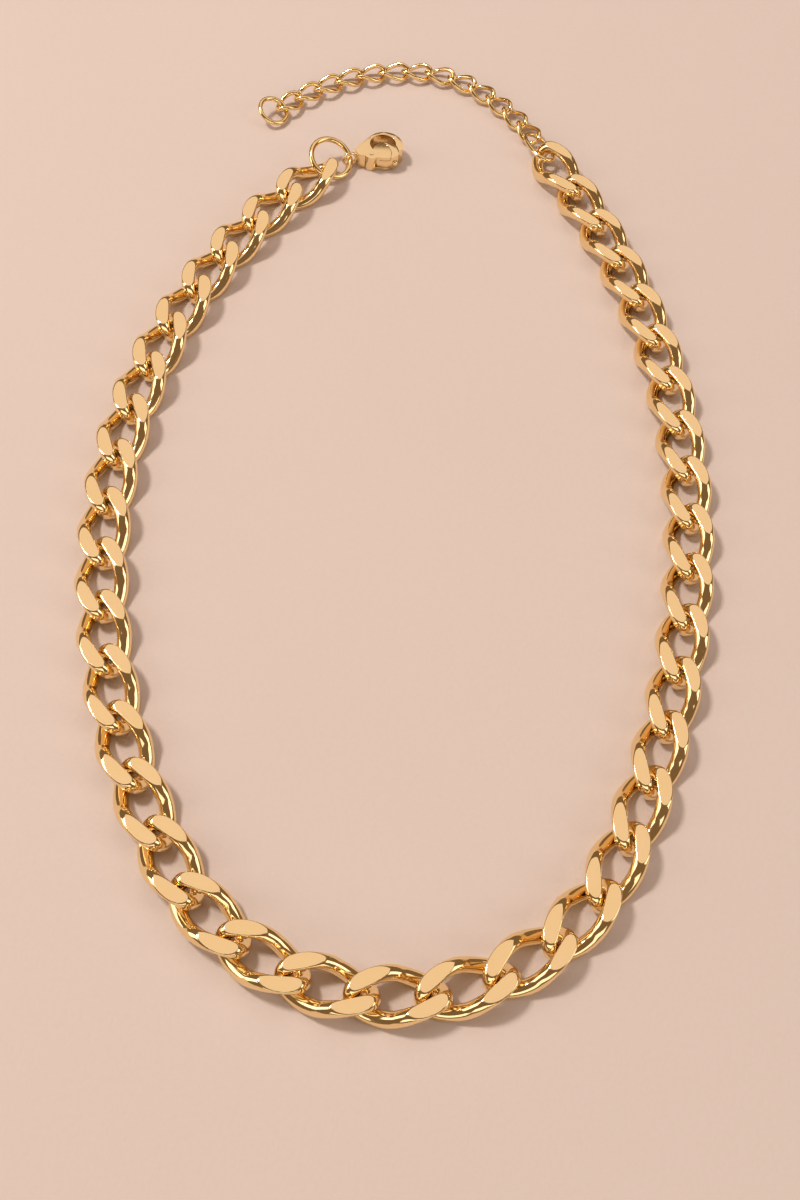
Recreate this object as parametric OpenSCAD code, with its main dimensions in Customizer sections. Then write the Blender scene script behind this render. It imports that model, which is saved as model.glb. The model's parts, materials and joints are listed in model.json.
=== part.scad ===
// Curb chain necklace with a lobster clasp and an extender chain.
// The necklace lies open on a flat surface, Z = 0. The front of the loop is towards -Y.
// Every link is its own closed ring of bent wire, passed through its two neighbours.

/* [Curb chain] */
// Distance from one curb link to the next along the chain
curb_pitch = 10; // [9.9:0.05:10]
// Length of a curb link over its outer edges
curb_length = 15.4; // [15.4:0.1:15.8]
// Width of a curb link over its outer edges
curb_width = 8.8; // [8.6:0.1:9.4]
// Diameter of the wire that a curb link is bent from
curb_wire = 2.4; // [2:0.05:2.4]
// Height of a curb link between its two filed faces
curb_thickness = 4.6; // [4.4:0.1:4.8]

/* [Extender chain] */
// Distance from one extender link to the next
ext_pitch = 4.9; // [4.8:0.05:4.9]
// Length of an extender link over its outer edges
ext_length = 6.9; // [6.8:0.05:7.1]
// Width of an extender link over its outer edges
ext_width = 4.6; // [4.4:0.1:5]
// Diameter of the wire of the extender links
ext_wire = 0.9; // [0.7:0.05:0.9]

/* [Rings] */
// Outer diameter of the round jump ring that carries the clasp
jump_ring_od = 9.2; // [9:0.1:9.4]
// Wire diameter of the jump ring
jump_ring_wire = 1.1; // [0.9:0.05:1.1]
// Length of the oval connector ring over its outer edges
connector_length = 9.6; // [9.4:0.1:10]
// Width of the oval connector ring over its outer edges
connector_width = 5.6; // [5.4:0.1:6]
// Wire diameter of the connector ring
connector_wire = 0.9; // [0.7:0.05:0.9]
// Outer diameter of the ring at the tail of the extender
end_ring_od = 6.6; // [6.2:0.1:7]
// Wire diameter of the end ring
end_ring_wire = 0.9; // [0.7:0.05:0.9]

/* [Clasp] */
// Thickness of the clasp body over its two cheeks
clasp_thickness = 3.2; // [3:0.1:3.4]
// Radius of the round head of the clasp
clasp_head_r = 3.7; // [3.6:0.05:3.8]
// Thickness of each cheek beside the lever slot
cheek_thickness = 0.7; // [0.6:0.05:0.8]
// Diameter of the lever's pivot pin
clasp_pin_d = 0.8; // [0.7:0.05:0.9]

/* [Hidden] */
curb_links = 39;
ext_links = 13;
front_link = 20;
smooth = 48;

// Where the chain lies: the middle of the front link, then the direction that the chain
// runs in, in degrees, at a few links. The links between them turn evenly.
front_place = [8.82, -94.67];
curb_lay = [
  [1, 234], [4, 249], [7, 263], [10, 278], [13, 291], [16, 307],
  [24, 428], [26, 437], [29, 447], [32, 458], [35, 470], [39, 484]
];
ext_lay = [[1, 487], [4, 506], [7, 546], [10, 572], [13, 590]];

// Corners where the arcs of a link meet: out along the link, across it and up or down
curb_corner = [4.4, 2.2, 1.9];
ext_corner = [1.9, 1.1, 1];
// The balls that fill the corners stand this much proud of the wire
corner_proud = 0.02;

// Rest heights of the middles of the links above the surface
curb_z = curb_thickness / 2;
ext_z = ext_corner[2] + ext_wire / 2 + corner_proud;

// Each seat is measured from the middle of the link that holds the piece: along that
// link, across it and, where it is given, up from the surface.
jump_ring_r = (jump_ring_od - jump_ring_wire) / 2;
jump_ring_seat = [-7.6, -0.9, 2.65];
jump_ring_roll = -25;

connector_seat = [3.7, 0.35, 2.44];
connector_tilt = [20, 4.5, -6];
connector_r = (connector_width - connector_wire) / 2;
connector_straight = connector_length - connector_width;

ext_seat = [13.4, -0.75];

end_ring_r = (end_ring_od - end_ring_wire) / 2;
end_ring_seat = [4.3, 0, 1.85];
end_ring_tilt = [-22, -8, 0];

// The clasp points away from the loop. Its eye hangs on the jump ring at this angle round
// the ring, and its own x runs from the eye to the nose.
clasp_heading = 28;
eye_on_ring = 146;
eye_r = 1.35;
eye_wire = 0.6;
clasp_half = clasp_thickness / 2;
clasp_head = [7.4, 0];
clasp_pivot = [4.1, -1.35];
// The throat is round, and the lever's round back fills its lower half
throat = [7.2, 0.45];
throat_r = 2.6;
lever_back = [7, -2.2];
lever_back_r = 2.9;
// The lever's tip and the hook's tip are round about the pivot
lever_reach = 5.35;
lever_hub_r = 1.15;
lever_gap = 0.12;
lever_opens = 18;
cheek_reach = 3.9;
slot_half = clasp_half - cheek_thickness;
hook_end = -2.3;
thumb_tab = [8.21, -3.72];
thumb_tab_r = 0.62;
pin_fit = 0.02;
pin_play = 0.12;
spring_wire = 0.2;
spring_r = clasp_pin_d / 2 + 0.16;
spring_turns = 3;
spring_floor = 0.15;

function unit(v) = v / norm(v);
function flat_dir(a) = [cos(a), sin(a)];
function curb_heading(i) = lookup(i, curb_lay);
function ext_heading(i) = lookup(i, ext_lay);
function half_step(i) = curb_pitch / 2 * flat_dir(curb_heading(i));
function curb_place(i) =
  i == front_link ? front_place
  : i > front_link ? curb_place(i - 1) + half_step(i - 1) + half_step(i)
  : curb_place(i + 1) - half_step(i + 1) - half_step(i);

// A point given in a curb link's own frame, on the surface
function turned(v, a) = [v[0] * cos(a) - v[1] * sin(a), v[0] * sin(a) + v[1] * cos(a)];
function on_link(i, v) = curb_place(i) + turned(v, curb_heading(i));

function ext_half_step(i) = ext_pitch / 2 * flat_dir(ext_heading(i));
function ext_place(i) =
  i == 1 ? on_link(curb_links, ext_seat)
  : ext_place(i - 1) + ext_half_step(i - 1) + ext_half_step(i);

eye_place = on_link(1, [
  jump_ring_seat[0] + jump_ring_r * cos(eye_on_ring),
  jump_ring_seat[1] + jump_ring_r * sin(eye_on_ring) * cos(jump_ring_roll)
]);
eye_z = jump_ring_seat[2] + jump_ring_r * sin(eye_on_ring) * sin(jump_ring_roll);

function numbered(base, i) = str(base, i < 10 ? "0" : "", i);
curb_names = [for (i = [1:curb_links]) numbered("curb_link_", i)];
ext_names = [for (i = [1:ext_links]) numbered("extender_link_", i)];

// Round wire bent along the circle that runs from p through q to r
module wire_arc(p, q, r, d) {
  u = q - p;
  v = r - p;
  n = cross(u, v);
  centre = p + ((v * v) * cross(n, u) + (u * u) * cross(v, n)) / (2 * (n * n));
  x = unit(p - centre);
  z = unit(n);
  y = cross(z, x);
  swing = (atan2((r - centre) * y, (r - centre) * x) + 360) % 360;
  multmatrix([
    [x[0], y[0], z[0], centre[0]],
    [x[1], y[1], z[1], centre[1]],
    [x[2], y[2], z[2], centre[2]],
    [0, 0, 0, 1]
  ])
    rotate_extrude(angle = swing, $fn = 2 * smooth)
      translate([norm(p - centre), 0])
        circle(d = d, $fn = smooth);
}

// A twisted ring of wire: both ends are turned about its length, in opposite senses,
// so that each limb runs from low at one end to high at the other.
module twisted_ring(length, width, wire, corner) {
  nose = [(length - wire) / 2, 0, 0];
  side = [0, (width - wire) / 2, 0];
  far_high = [corner[0], -corner[1], corner[2]];
  far_low = [corner[0], corner[1], -corner[2]];
  near_high = [-corner[0], corner[1], corner[2]];
  near_low = [-corner[0], -corner[1], -corner[2]];
  wire_arc(near_low, -side, far_high, wire);
  wire_arc(far_high, nose, far_low, wire);
  wire_arc(far_low, side, near_high, wire);
  wire_arc(near_high, -nose, near_low, wire);
  for (p = [far_high, far_low, near_high, near_low])
    translate(p)
      sphere(r = wire / 2 + corner_proud, $fn = smooth);
}

// Full ring of round wire, flat, with its middle at the origin
module round_ring(r, wire) {
  rotate_extrude($fn = 2 * smooth)
    translate([r, 0])
      circle(d = wire, $fn = smooth);
}

// Curb link: the twisted ring with its top and bottom filed flat
module curb_link(i) {
  color("gold")
    translate([curb_place(i)[0], curb_place(i)[1], curb_z])
      rotate(curb_heading(i))
        intersection() {
          twisted_ring(curb_length, curb_width, curb_wire, curb_corner);
          translate([-curb_length, -curb_width, -curb_thickness / 2])
            cube([2 * curb_length, 2 * curb_width, curb_thickness]);
        }
}

// Extender link: thin round wire, twisted the other way
module extender_link(i) {
  color("goldenrod")
    translate([ext_place(i)[0], ext_place(i)[1], ext_z])
      rotate(ext_heading(i))
        mirror([0, 1, 0])
          twisted_ring(ext_length, ext_width, ext_wire, ext_corner);
}

// Puts a piece at a seat measured from the middle of curb link i
module at_curb_seat(i, seat) {
  place = on_link(i, seat);
  translate([place[0], place[1], seat[2]])
    rotate(curb_heading(i))
      children();
}

module jump_ring() {
  color("gold")
    at_curb_seat(1, jump_ring_seat)
      rotate([jump_ring_roll, 0, 0])
        round_ring(jump_ring_r, jump_ring_wire);
}

// One round end of the connector ring
module connector_end() {
  rotate(90)
    rotate_extrude(angle = 180, $fn = 2 * smooth)
      translate([connector_r, 0])
        circle(d = connector_wire, $fn = smooth);
}

// Oval ring with straight sides between the last curb link and the extender
module connector_ring() {
  color("gold")
    at_curb_seat(curb_links, connector_seat)
      rotate(connector_tilt)
        translate([connector_r, 0, 0]) {
          connector_end();
          translate([connector_straight, 0, 0])
            rotate(180)
              connector_end();
          for (s = [-1, 1])
            translate([0, s * connector_r, 0])
              rotate([0, 90, 0])
                cylinder(d = connector_wire, h = connector_straight, $fn = smooth);
        }
}

// Round ring at the tail of the extender
module end_ring() {
  seat = turned(end_ring_seat, ext_heading(ext_links));
  place = ext_place(ext_links) + seat;
  color("gold")
    translate([place[0], place[1], end_ring_seat[2]])
      rotate(ext_heading(ext_links))
        rotate(end_ring_tilt)
          round_ring(end_ring_r, end_ring_wire);
}

// Places the clasp's pieces: x from the eye to the nose, z up through its thickness
module at_clasp() {
  translate([eye_place[0], eye_place[1], eye_z])
    rotate(clasp_heading)
      children();
}

module slab(z0, z1) {
  translate([0, 0, z0])
    linear_extrude(z1 - z0)
      children();
}

module disc_at(p, r) {
  translate(p)
    circle(r = r, $fn = 2 * smooth);
}

// Outline of the whole clasp seen from above: round head and a tail that narrows to the eye
module clasp_outline() {
  tail = [1.4, 0.9];
  shoulder = [5.7, 3.29];
  disc_at(clasp_head, clasp_head_r);
  disc_at(clasp_pivot, lever_hub_r + 0.35);
  polygon([
    [tail[0], -tail[1]], tail, shoulder,
    [clasp_head[0], 0], [shoulder[0], -shoulder[1]]
  ]);
}

// The lever seen from above
module lever_outline() {
  disc_at(clasp_pivot, lever_hub_r);
  intersection() {
    disc_at(lever_back, lever_back_r);
    disc_at(clasp_head, clasp_head_r);
    disc_at(clasp_pivot, lever_reach);
  }
}

// All the room that the lever needs as it swings open
module lever_path() {
  disc_at(clasp_pivot, lever_hub_r + lever_gap);
  intersection() {
    disc_at(clasp_pivot, lever_reach + lever_gap);
    translate(clasp_pivot)
      for (a = [0:lever_opens / 2:lever_opens])
        rotate(a)
          disc_at(lever_back - clasp_pivot, lever_back_r + lever_gap);
  }
}

module clasp_body() {
  over = 1;
  color("gold")
    at_clasp() {
      difference() {
        slab(-clasp_half, clasp_half)
          difference() {
            clasp_outline();
            // the crescent throat that the wearer's ring passes into
            difference() {
              disc_at(throat, throat_r);
              intersection() {
                disc_at(lever_back, lever_back_r);
                disc_at(clasp_pivot, cheek_reach);
              }
            }
            // beyond the cheeks the head is open for the lever
            difference() {
              lever_path();
              disc_at(clasp_pivot, cheek_reach);
            }
            // the hook stops short of the lever's outer edge
            difference() {
              translate([clasp_head[0], hook_end - clasp_head_r])
                square([clasp_head_r + over, clasp_head_r]);
              disc_at(clasp_pivot, cheek_reach);
            }
            disc_at(clasp_pivot, (clasp_pin_d + pin_fit) / 2);
          }
        // the slot between the cheeks
        slab(-slot_half, slot_half)
          lever_path();
      }
      rotate([90, 0, 0])
        round_ring(eye_r, eye_wire);
    }
}

module clasp_lever() {
  thin = slot_half - 0.1;
  full = clasp_half - 0.1;
  color("goldenrod")
    at_clasp()
      difference() {
        union() {
          slab(-thin, thin)
            lever_outline();
          slab(-full, full)
            difference() {
              lever_outline();
              disc_at(clasp_pivot, cheek_reach + lever_gap);
            }
          translate([thumb_tab[0], thumb_tab[1], 0])
            sphere(r = thumb_tab_r, $fn = smooth);
        }
        slab(-clasp_thickness, clasp_thickness)
          disc_at(clasp_pivot, (clasp_pin_d + pin_play) / 2);
        // the spring's well round the pin
        slab(spring_floor, clasp_thickness)
          disc_at(clasp_pivot, spring_r + spring_wire);
      }
}

module clasp_pin() {
  color("goldenrod")
    at_clasp()
      translate([clasp_pivot[0], clasp_pivot[1], -clasp_half])
        cylinder(d = clasp_pin_d, h = clasp_thickness, $fn = smooth);
}

// Small torsion spring round the pin that pushes the lever shut, drawn as close turns
module clasp_spring() {
  turn_pitch = 1.05 * spring_wire;
  color("silver")
    at_clasp()
      for (k = [0:spring_turns - 1])
        translate([clasp_pivot[0], clasp_pivot[1], spring_floor + (k + 0.6) * turn_pitch])
          round_ring(spring_r, spring_wire);
}

for (i = [1:curb_links])
  curb_link(i);
for (i = [1:ext_links])
  extender_link(i);
jump_ring();
connector_ring();
end_ring();
clasp_body();
clasp_lever();
clasp_pin();
clasp_spring();
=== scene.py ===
import json
import math

import bpy
from mathutils import Euler, Matrix, Vector


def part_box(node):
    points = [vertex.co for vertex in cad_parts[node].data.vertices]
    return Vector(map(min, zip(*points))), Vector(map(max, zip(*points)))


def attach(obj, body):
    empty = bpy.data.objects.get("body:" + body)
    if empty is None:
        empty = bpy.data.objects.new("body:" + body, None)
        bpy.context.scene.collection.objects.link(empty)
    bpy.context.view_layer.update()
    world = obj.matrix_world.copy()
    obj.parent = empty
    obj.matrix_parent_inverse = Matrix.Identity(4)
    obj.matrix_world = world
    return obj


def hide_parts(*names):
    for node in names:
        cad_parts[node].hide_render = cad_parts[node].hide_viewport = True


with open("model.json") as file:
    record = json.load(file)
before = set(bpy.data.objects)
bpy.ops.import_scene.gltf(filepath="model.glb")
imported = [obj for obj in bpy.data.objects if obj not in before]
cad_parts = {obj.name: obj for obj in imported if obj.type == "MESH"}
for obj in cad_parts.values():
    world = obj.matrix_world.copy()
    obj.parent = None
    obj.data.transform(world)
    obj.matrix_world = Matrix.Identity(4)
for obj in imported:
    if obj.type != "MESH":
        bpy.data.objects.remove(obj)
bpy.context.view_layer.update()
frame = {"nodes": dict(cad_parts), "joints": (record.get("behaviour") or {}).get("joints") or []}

MM = 0.001

# The camera looks down at the necklace from the front of the loop, turned a little about
# its own line of sight. The point it looks at lies inside the loop.
look_at = Vector((1.9, -29.9, 0.0)) * MM
camera_distance = 226 * MM
camera_elevation = math.radians(60.0)
camera_roll = math.radians(7.5)
camera_data = bpy.data.cameras.new("camera")
camera_data.sensor_fit = "VERTICAL"
camera_data.sensor_height = 36.0
camera_data.lens = 41.1
camera_data.clip_start = 0.01
camera = bpy.data.objects.new("camera", camera_data)
bpy.context.scene.collection.objects.link(camera)
camera_back = Vector((0.0, -math.cos(camera_elevation), math.sin(camera_elevation)))
camera_turn = Euler((math.pi / 2 - camera_elevation, 0.0, 0.0)).to_matrix().to_4x4()
camera.matrix_world = (
    Matrix.Translation(look_at + camera_distance * camera_back)
    @ camera_turn
    @ Matrix.Rotation(camera_roll, 4, "Z")
)
bpy.context.scene.camera = camera
bpy.context.scene.view_settings.view_transform = "Standard"


# ---------------------------------------------------------------------------------------
# The surface under the necklace: a sheet of pale blush card with a fine soft tooth. The
# light is a small lamp high on the left, and wide soft panels all round for the gold to mirror.
class Field:
    """A value in a node tree. + - * / on it add Math nodes."""

    def __init__(self, nodes, socket):
        self.nodes = nodes
        self.socket = socket

    def combine(self, operation, a, b):
        return self.nodes.add("ShaderNodeMath", {"operation": operation}, {0: a, 1: b})

    def __add__(self, other):
        return self.combine("ADD", self, other)

    def __radd__(self, other):
        return self.combine("ADD", other, self)

    def __sub__(self, other):
        return self.combine("SUBTRACT", self, other)

    def __rsub__(self, other):
        return self.combine("SUBTRACT", other, self)

    def __mul__(self, other):
        return self.combine("MULTIPLY", self, other)

    def __rmul__(self, other):
        return self.combine("MULTIPLY", other, self)

    def __truediv__(self, other):
        return self.combine("DIVIDE", self, other)

    def __rtruediv__(self, other):
        return self.combine("DIVIDE", other, self)

    def __pow__(self, other):
        return self.combine("POWER", self, other)


class Nodes:
    """Adds nodes to a tree: a type, its settings, then its sockets' values or links."""

    def __init__(self, tree):
        self.tree = tree

    def add(self, kind, settings=None, values=None, out=0):
        node = self.tree.nodes.new(kind)
        for name, value in (settings or {}).items():
            if name == "stops":
                ramp = node.color_ramp.elements
                while len(ramp) < len(value):
                    ramp.new(0.5)
                for element, (place, colour) in zip(ramp, value):
                    element.position = place
                    element.color = colour
            else:
                setattr(node, name, value)
        for name, value in (values or {}).items():
            if isinstance(value, Field):
                self.tree.links.new(value.socket, node.inputs[name])
            else:
                node.inputs[name].default_value = value
        return Field(self, node.outputs[out])


def new_material(name):
    """A material with only an output and a Principled shader, and its node maker."""
    material = bpy.data.materials.new(name)
    material.use_nodes = True
    nodes = Nodes(material.node_tree)
    shader = material.node_tree.nodes["Principled BSDF"]
    return material, nodes, shader


def feed(nodes, shader, name, field):
    nodes.tree.links.new(field.socket, shader.inputs[name])


def mix_colours(nodes, share, first, second):
    """The first colour where share is 0, the second where it is 1."""
    return nodes.add(
        "ShaderNodeMix",
        {"data_type": "RGBA"},
        {0: share, 6: first, 7: second},
        out=2,
    )


card_pale = (0.72, 0.61, 0.56, 1.0)
card_deep = (0.67, 0.56, 0.51, 1.0)
card_size = 3.0
card_material, nodes, shader = new_material("blush_card")
cloud_grain = 22.0
fibre_grain = 1300.0
cloud_share = 0.4
fibre_share = 0.6
card_roughness = 0.86
tooth_depth = 0.2 * MM
tooth_strength = 0.25
where = nodes.add("ShaderNodeTexCoord", out=3)
cloud = nodes.add("ShaderNodeTexNoise", None, {"Vector": where, "Scale": cloud_grain, "Detail": 3.0})
fibre = nodes.add("ShaderNodeTexNoise", None, {"Vector": where, "Scale": fibre_grain, "Detail": 4.0})
mottle = cloud * cloud_share + fibre * fibre_share
feed(nodes, shader, "Base Color", mix_colours(nodes, mottle, card_deep, card_pale))
feed(nodes, shader, "Roughness", card_roughness + 0.1 * fibre)
tooth = nodes.add(
    "ShaderNodeBump",
    None,
    {"Height": fibre, "Strength": tooth_strength, "Distance": tooth_depth},
)
feed(nodes, shader, "Normal", tooth)

card_mesh = bpy.data.meshes.new("card")
half = card_size / 2
card_mesh.from_pydata(
    [(-half, -half, 0.0), (half, -half, 0.0), (half, half, 0.0), (-half, half, 0.0)],
    [],
    [(0, 1, 2, 3)],
)
card = bpy.data.objects.new("card", card_mesh)
bpy.context.scene.collection.objects.link(card)
card.data.materials.append(card_material)


def soft_panel(name, place, width, height, watts, colour):
    """A rectangular area light that faces the necklace."""
    data = bpy.data.lights.new(name, "AREA")
    data.shape = "RECTANGLE"
    data.size = width
    data.size_y = height
    data.energy = watts
    data.color = colour
    panel = bpy.data.objects.new(name, data)
    bpy.context.scene.collection.objects.link(panel)
    aim = (look_at - Vector(place)).to_track_quat("-Z", "Y")
    panel.matrix_world = Matrix.Translation(place) @ aim.to_matrix().to_4x4()


soft_panel("lamp", (-0.80, 0.28, 1.26), 0.24, 0.24, 13.5, (1.0, 0.93, 0.86))
soft_panel("back_panel", (0.0, 0.50, 0.95), 1.3, 1.15, 3.4, (1.0, 0.87, 0.82))
soft_panel("front_panel", (0.1, -1.15, 0.55), 1.6, 0.5, 3.6, (1.0, 0.93, 0.86))
soft_panel("left_panel", (-1.0, -0.1, 0.45), 0.5, 0.9, 2.8, (1.0, 0.93, 0.85))
soft_panel("right_panel", (1.0, -0.1, 0.60), 0.5, 0.8, 2.4, (1.0, 0.93, 0.86))
world = bpy.data.worlds.new("room")
world.use_nodes = True
room_colour = (0.19, 0.125, 0.075, 1.0)
world.node_tree.nodes["Background"].inputs["Color"].default_value = room_colour
bpy.context.scene.world = world


# ---------------------------------------------------------------------------------------
# Curb links: each is a ring of round gold-plated wire, soldered shut, twisted so that its
# two ends stand in opposite senses, and then filed flat on the top and bottom of the chain.
def middle(node):
    low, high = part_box(node)
    return (low + high) / 2


def group_input(tree, name, kind):
    return tree.interface.new_socket(name=name, in_out="INPUT", socket_type=kind).identifier


# One tree bends every ring of wire: an oval, twisted about its length, of round wire
ring_tree = bpy.data.node_groups.new("ring_of_wire", "GeometryNodeTree")
ring_inputs = {
    name: group_input(ring_tree, name, kind)
    for name, kind in (
        ("half_length", "NodeSocketFloat"),
        ("half_width", "NodeSocketFloat"),
        ("squareness", "NodeSocketFloat"),
        ("twist", "NodeSocketFloat"),
        ("twist_power", "NodeSocketFloat"),
        ("wire_radius", "NodeSocketFloat"),
        ("filed_height", "NodeSocketFloat"),
        ("steps", "NodeSocketInt"),
        ("sides", "NodeSocketInt"),
        ("place", "NodeSocketVector"),
        ("turn", "NodeSocketVector"),
        ("finish", "NodeSocketMaterial"),
    )
}
ring_tree.interface.new_socket(name="ring", in_out="OUTPUT", socket_type="NodeSocketGeometry")
nodes = Nodes(ring_tree)
group_in = ring_tree.nodes.new("NodeGroupInput")
given = {name: Field(nodes, group_in.outputs[name]) for name in ring_inputs}


def split(nodes, vector):
    node = nodes.add("ShaderNodeSeparateXYZ", None, {0: vector}).socket.node
    return [Field(nodes, node.outputs[k]) for k in range(3)]


def single(nodes, operation, value):
    return nodes.add("ShaderNodeMath", {"operation": operation}, {0: value})


def bulged(nodes, value, power):
    """value raised to power, with its sign kept"""
    return single(nodes, "SIGN", value) * single(nodes, "ABSOLUTE", value) ** power


loop = nodes.add("GeometryNodeCurvePrimitiveCircle", None, {"Resolution": given["steps"], "Radius": 1.0})
east, north, _ = split(nodes, nodes.add("GeometryNodeInputPosition"))
power = 2.0 / given["squareness"]
along = bulged(nodes, east, power)
across = given["half_width"] * bulged(nodes, north, power)
roll = given["twist"] * bulged(nodes, along, given["twist_power"]) * -1.0
bent = nodes.add(
    "ShaderNodeCombineXYZ",
    None,
    {
        "X": given["half_length"] * along,
        "Y": across * single(nodes, "COSINE", roll),
        "Z": across * single(nodes, "SINE", roll),
    },
)
loop = nodes.add("GeometryNodeSetPosition", None, {"Geometry": loop, "Position": bent})
section = nodes.add(
    "GeometryNodeCurvePrimitiveCircle",
    None,
    {"Resolution": given["sides"], "Radius": given["wire_radius"]},
)
ring = nodes.add("GeometryNodeCurveToMesh", None, {"Curve": loop, "Profile Curve": section})

# Filing: whatever stands above the filed height is brought down to it
edge_softness = 0.1 * MM
surface = nodes.add("GeometryNodeInputPosition")
x, y, z = split(nodes, surface)
tall = single(nodes, "ABSOLUTE", z)
filed = nodes.add(
    "ShaderNodeMath",
    {"operation": "SMOOTH_MIN"},
    {0: tall, 1: given["filed_height"], 2: edge_softness},
)
bright_depth = 0.08 * MM
removed = (tall - filed) * (1.0 / bright_depth)
ring = nodes.add(
    "GeometryNodeStoreNamedAttribute",
    {"data_type": "FLOAT", "domain": "POINT"},
    {"Geometry": ring, "Name": "filed", "Value": removed},
)
flat = nodes.add("ShaderNodeCombineXYZ", None, {"X": x, "Y": y, "Z": single(nodes, "SIGN", z) * filed})
ring = nodes.add("GeometryNodeSetPosition", None, {"Geometry": ring, "Position": flat})
ring = nodes.add(
    "GeometryNodeStoreNamedAttribute",
    {"data_type": "FLOAT_VECTOR", "domain": "POINT"},
    {"Geometry": ring, "Name": "on_ring", "Value": nodes.add("GeometryNodeInputPosition")},
)
ring = nodes.add(
    "GeometryNodeTransform",
    None,
    {"Geometry": ring, "Translation": given["place"], "Rotation": given["turn"]},
)
ring = nodes.add("GeometryNodeSetShadeSmooth", None, {"Geometry": ring})
ring = nodes.add("GeometryNodeRealizeInstances", None, {"Geometry": ring})
ring = nodes.add("GeometryNodeSetMaterial", None, {"Geometry": ring, "Material": given["finish"]})
group_out = ring_tree.nodes.new("NodeGroupOutput")
ring_tree.links.new(ring.socket, group_out.inputs[0])


def wire_ring(name, body, node, slot, **sizes):
    """A plain mesh ring that stands for one CAD node and rides on its body."""
    blank = bpy.data.objects.new(name + "_maker", bpy.data.meshes.new(name + "_maker"))
    bpy.context.scene.collection.objects.link(blank)
    maker = blank.modifiers.new("ring", "NODES")
    maker.node_group = ring_tree
    for size, value in sizes.items():
        maker[ring_inputs[size]] = value
    graph = bpy.context.evaluated_depsgraph_get()
    mesh = bpy.data.meshes.new_from_object(blank.evaluated_get(graph))
    bpy.data.objects.remove(blank)
    piece = bpy.data.objects.new(name, mesh)
    bpy.context.scene.collection.objects.link(piece)
    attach(piece, body)
    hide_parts(node)
    return piece


def gold_finish(name, pale, deep, rough, grain):
    """Polished gold plate: cloudy colour, hairline scratches and a soft orange-peel."""
    cloud_grain = 180.0
    speck_grain = 2600.0
    scratch_grain = (250.0, 3500.0, 3500.0)
    relief_depth = 0.05 * MM
    material, nodes, shader = new_material(name)
    shader.inputs["Metallic"].default_value = 1.0
    where = nodes.add("ShaderNodeTexCoord", out=3)
    cloud = nodes.add("ShaderNodeTexNoise", None, {"Vector": where, "Scale": cloud_grain, "Detail": 2.0})
    speck = nodes.add("ShaderNodeTexNoise", None, {"Vector": where, "Scale": speck_grain, "Detail": 3.0})
    on_ring = nodes.add("ShaderNodeAttribute", {"attribute_name": "on_ring"}, None, out=1)
    drawn = nodes.add("ShaderNodeMapping", None, {"Vector": on_ring, "Scale": scratch_grain})
    scratch = nodes.add("ShaderNodeTexNoise", None, {"Vector": drawn, "Scale": 1.0, "Detail": 4.0})
    worn = nodes.add("ShaderNodeAttribute", {"attribute_name": "filed"}, None, out=2)
    face = nodes.add("ShaderNodeClamp", None, {0: worn})
    feed(nodes, shader, "Base Color", mix_colours(nodes, cloud * 0.7 + speck * 0.3, deep, pale))
    feed(nodes, shader, "Roughness", rough + 0.05 * scratch + 0.04 * speck + 0.03 * face)
    relief = cloud + speck * 0.05 + scratch * 0.06
    bump = nodes.add(
        "ShaderNodeBump",
        None,
        {"Height": relief, "Strength": grain, "Distance": relief_depth},
    )
    feed(nodes, shader, "Normal", bump)
    return material


chain_gold = gold_finish("chain_gold", (0.98, 0.77, 0.44, 1.0), (0.95, 0.70, 0.34, 1.0), 0.05, 0.35)

curb_links = 39
front_link = 20
curb_wire = 2.45 * MM
curb_length = 15.6 * MM
curb_width = 8.8 * MM
curb_squareness = 2.5
curb_twist = math.radians(54.0)
curb_twist_power = 0.8
curb_steps = 176
curb_sides = 40
filed_half = 2.12 * MM
joint_place = {j["name"]: Vector(j["pos_m"]) for j in frame["joints"]}


def curb_name(i):
    return f"curb_link_{i:02d}"


def link_heading(centre, ahead, behind):
    """The direction of a link, towards the joint ahead of it or away from the one behind."""
    run = (joint_place[ahead] - centre) if ahead else (centre - joint_place[behind])
    return math.atan2(run.y, run.x)


curb_heading = {}
for i in range(1, curb_links + 1):
    centre = middle(curb_name(i))
    ahead = f"flex_{i:02d}" if i < front_link else (f"flex_{i + 1:02d}" if i == front_link else None)
    curb_heading[i] = link_heading(centre, ahead, f"flex_{i:02d}")
    wire_ring(
        f"curb_{i:02d}",
        "front_link" if i == front_link else curb_name(i),
        curb_name(i),
        "chain_gold",
        half_length=(curb_length - curb_wire) / 2,
        half_width=(curb_width - curb_wire) / 2,
        squareness=curb_squareness,
        twist=curb_twist,
        twist_power=curb_twist_power,
        wire_radius=curb_wire / 2,
        filed_height=filed_half,
        steps=curb_steps,
        sides=curb_sides,
        place=(centre.x, centre.y, filed_half),
        turn=(0.0, 0.0, curb_heading[i]),
        finish=chain_gold,
    )


# ---------------------------------------------------------------------------------------
# Jump ring, connector ring and end ring: plain bright round wire, bent round or oval and
# closed. The first holds the clasp, the second the extender, the third ends the tail.
ring_gold = gold_finish("ring_gold", (0.97, 0.74, 0.38, 1.0), (0.93, 0.66, 0.28, 1.0), 0.07, 0.25)
unfiled = 1.0
plain_ring = {
    "squareness": 2.0,
    "twist": 0.0,
    "twist_power": 1.0,
    "filed_height": unfiled,
    "steps": 128,
    "sides": 24,
}
jump_outer = 9.2 * MM
jump_wire = 1.1 * MM
jump_roll = math.radians(-25.0)
wire_ring(
    "jump_ring_wire",
    "jump_ring",
    "jump_ring",
    "ring_gold",
    half_length=(jump_outer - jump_wire) / 2,
    half_width=(jump_outer - jump_wire) / 2,
    wire_radius=jump_wire / 2,
    place=middle("jump_ring"),
    turn=(jump_roll, 0.0, curb_heading[1]),
    finish=ring_gold,
    **plain_ring,
)
connector_length = 9.6 * MM
connector_width = 5.6 * MM
connector_wire = 0.9 * MM
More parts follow.
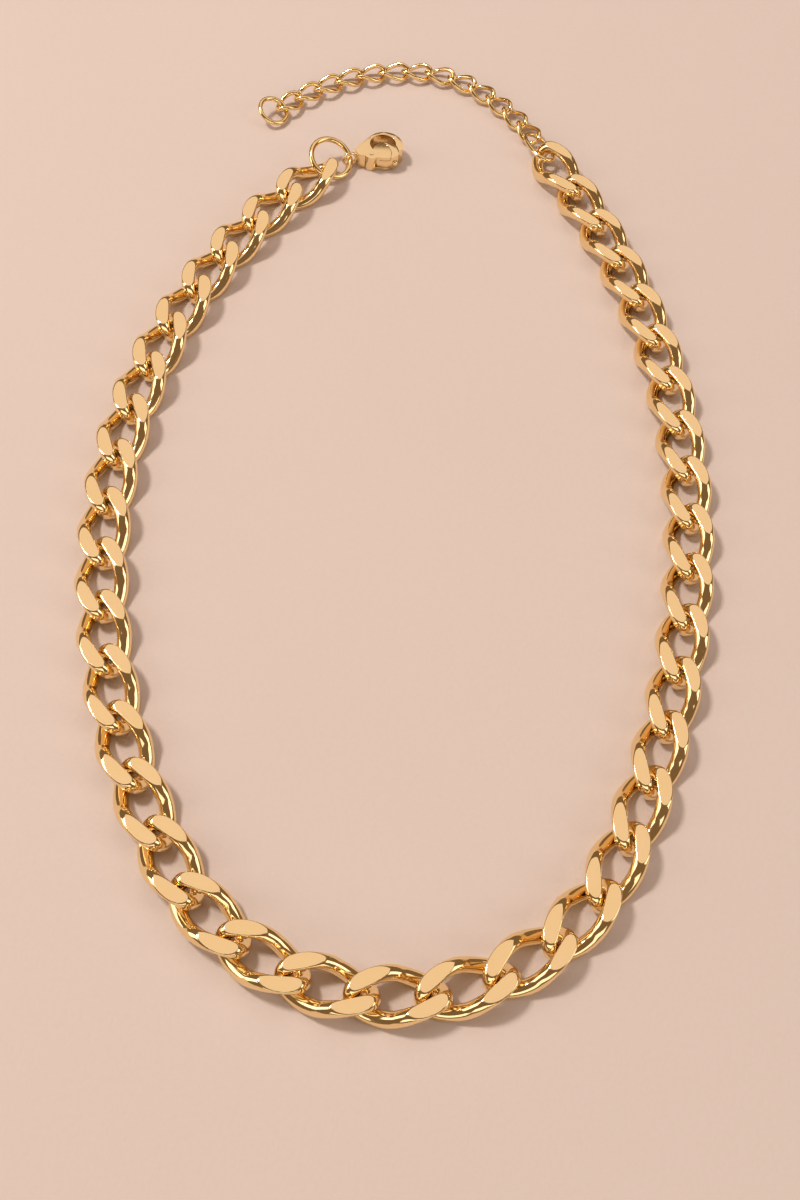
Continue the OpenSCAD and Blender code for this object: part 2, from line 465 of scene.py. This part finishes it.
connector_squareness = 2.5
connector_tilt = [math.radians(a) for a in (20.0, 4.5, -6.0)]
wire_ring(
    "connector_wire",
    "connector_ring",
    "connector_ring",
    "ring_gold",
    half_length=(connector_length - connector_wire) / 2,
    half_width=(connector_width - connector_wire) / 2,
    wire_radius=connector_wire / 2,
    place=middle("connector_ring"),
    turn=(connector_tilt[0], connector_tilt[1], connector_tilt[2] + curb_heading[curb_links]),
    finish=ring_gold,
    **{**plain_ring, "squareness": connector_squareness},
)


# ---------------------------------------------------------------------------------------
# Extender: small oval links of thin bright wire, twisted like the curb links but the other
# way round and left unfiled, so that the clasp can close on any of them.
ext_links = 13
ext_length = 6.9 * MM
ext_width = 4.6 * MM
ext_wire = 0.9 * MM
ext_squareness = 2.2
ext_twist = math.radians(-42.0)
ext_steps = 96
ext_sides = 20


def ext_name(i):
    return f"extender_link_{i:02d}"


for i in range(1, ext_links + 1):
    centre = middle(ext_name(i))
    ahead = f"ext_flex_{i + 1:02d}" if i < ext_links else None
    heading = link_heading(centre, ahead, f"ext_flex_{i:02d}")
    wire_ring(
        f"extender_{i:02d}",
        ext_name(i),
        ext_name(i),
        "ring_gold",
        half_length=(ext_length - ext_wire) / 2,
        half_width=(ext_width - ext_wire) / 2,
        squareness=ext_squareness,
        twist=ext_twist,
        twist_power=1.0,
        wire_radius=ext_wire / 2,
        filed_height=unfiled,
        steps=ext_steps,
        sides=ext_sides,
        place=centre,
        turn=(0.0, 0.0, heading),
        finish=ring_gold,
    )
end_outer = 6.6 * MM
end_tilt = (math.radians(-22.0), math.radians(-8.0))
wire_ring(
    "end_ring_wire",
    "end_ring",
    "end_ring",
    "ring_gold",
    half_length=(end_outer - ext_wire) / 2,
    half_width=(end_outer - ext_wire) / 2,
    wire_radius=ext_wire / 2,
    place=middle("end_ring"),
    turn=(end_tilt[0], end_tilt[1], heading),
    finish=ring_gold,
    **plain_ring,
)


# ---------------------------------------------------------------------------------------
# Clasp: a small lobster claw, cast in two pieces and plated, with soft tumbled edges. The
# lever swings on a steel pin between the body's cheeks, shut by a tiny spring.
clasp_gold = gold_finish("clasp_gold", (0.95, 0.74, 0.42, 1.0), (0.92, 0.68, 0.34, 1.0), 0.08, 0.35)
spring_steel, nodes, shader = new_material("spring_steel")
shader.inputs["Metallic"].default_value = 1.0
where = nodes.add("ShaderNodeTexCoord", out=3)
speck = nodes.add("ShaderNodeTexNoise", None, {"Vector": where, "Scale": 3000.0, "Detail": 2.0})
feed(nodes, shader, "Base Color", mix_colours(nodes, speck, (0.5, 0.5, 0.5, 1.0), (0.68, 0.68, 0.68, 1.0)))
feed(nodes, shader, "Roughness", 0.2 + 0.15 * speck)


def tumbled_casting(name, body, node, edge, finish):
    """The CAD piece with its sharp edges rounded over, as tumbling leaves them."""
    loose_gap = 0.005 * MM
    flat_angle = math.radians(1.0)
    corner_angle = math.radians(38.0)
    rounding_steps = 4
    mesh = frame["nodes"][node].data.copy()
    piece = bpy.data.objects.new(name, mesh)
    bpy.context.scene.collection.objects.link(piece)
    mesh.materials.clear()
    mesh.materials.append(finish)
    weld = piece.modifiers.new("weld", "WELD")
    weld.merge_threshold = loose_gap
    planar = piece.modifiers.new("planar", "DECIMATE")
    planar.decimate_type = "DISSOLVE"
    planar.angle_limit = flat_angle
    rounding = piece.modifiers.new("rounding", "BEVEL")
    rounding.width = edge
    rounding.segments = rounding_steps
    rounding.limit_method = "ANGLE"
    rounding.angle_limit = corner_angle
    rounding.use_clamp_overlap = True
    rounding.harden_normals = False
    graph = bpy.context.evaluated_depsgraph_get()
    rounded = bpy.data.meshes.new_from_object(piece.evaluated_get(graph))
    piece.modifiers.clear()
    piece.data = rounded
    rounded.shade_smooth()
    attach(piece, body)
    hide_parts(node)
    return piece


body_edge = 0.28 * MM
lever_edge = 0.12 * MM
tumbled_casting("clasp_body_casting", "clasp", "clasp_body", body_edge, clasp_gold)
tumbled_casting("clasp_lever_casting", "clasp_lever", "clasp_lever", lever_edge, clasp_gold)
for node, finish in (("clasp_pin", clasp_gold), ("clasp_spring", spring_steel)):
    frame["nodes"][node].data.materials.clear()
    frame["nodes"][node].data.materials.append(finish)
